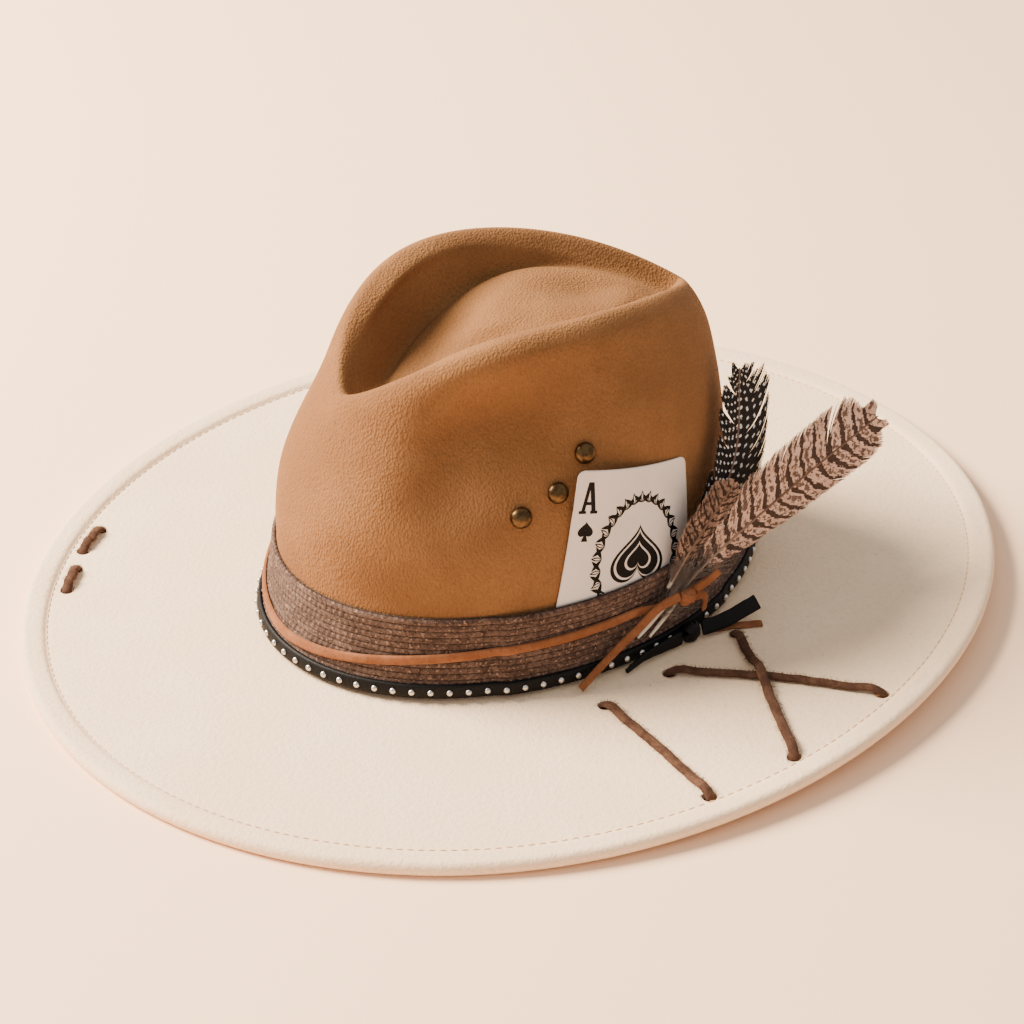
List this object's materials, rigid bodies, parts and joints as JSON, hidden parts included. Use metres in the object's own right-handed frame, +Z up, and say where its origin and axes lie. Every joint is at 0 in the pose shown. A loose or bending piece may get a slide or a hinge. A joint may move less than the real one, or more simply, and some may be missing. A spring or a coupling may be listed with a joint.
{
  "type": "flat brim fedora",
  "caption": "Felt hat with a teardrop-creased crown, a wide flat brim, a knitted band with cord and studded strap, a tucked card and feathers.",
  "frame": {"origin": "middle of the brim's outline, on the surface that the hat lies on", "axes": "+Z up, the front faces -Y, the side with the card and the feathers is +X"},
  "size_m": [0.361, 0.4152, 0.1392],
  "materials": {
    "crown_felt": "brushed camel felt",
    "brim_felt": "smooth cream felt",
    "knit": "heathered knit",
    "suede": "tan suede",
    "black_leather": "matte black with silver domes",
    "antique_brass": "antiqued",
    "card": "coated card",
    "barred_feather": "feather barbs, tan with dark bars",
    "spotted_feather": "feather barbs, dark with pale spots",
    "brown_lace": "rough brown leather"
  },
  "bodies": {
    "root": {"crown": "crown_felt", "brim": "brim_felt", "hat_band": "knit", "suede_cord": "suede", "suede_knot": "suede", "suede_tail_1": "suede", "suede_tail_2": "suede", "suede_tail_3": "suede", "suede_tail_4": "suede", "stud_strap": "black_leather", "strap_knot": "black_leather", "strap_tail_1": "black_leather", "strap_tail_2": "black_leather", "brass_stud_1": "antique_brass", "brass_stud_2": "antique_brass", "brass_stud_3": "antique_brass", "playing_card": "card", "barred_feather": "barred_feather", "spotted_feather": "spotted_feather", "small_feather": "barred_feather", "brim_lace_1": "brown_lace", "brim_lace_2": "brown_lace", "brim_lace_3": "brown_lace", "brim_lace_4": "brown_lace", "brim_lace_5": "brown_lace"}
  },
  "joints": []
}
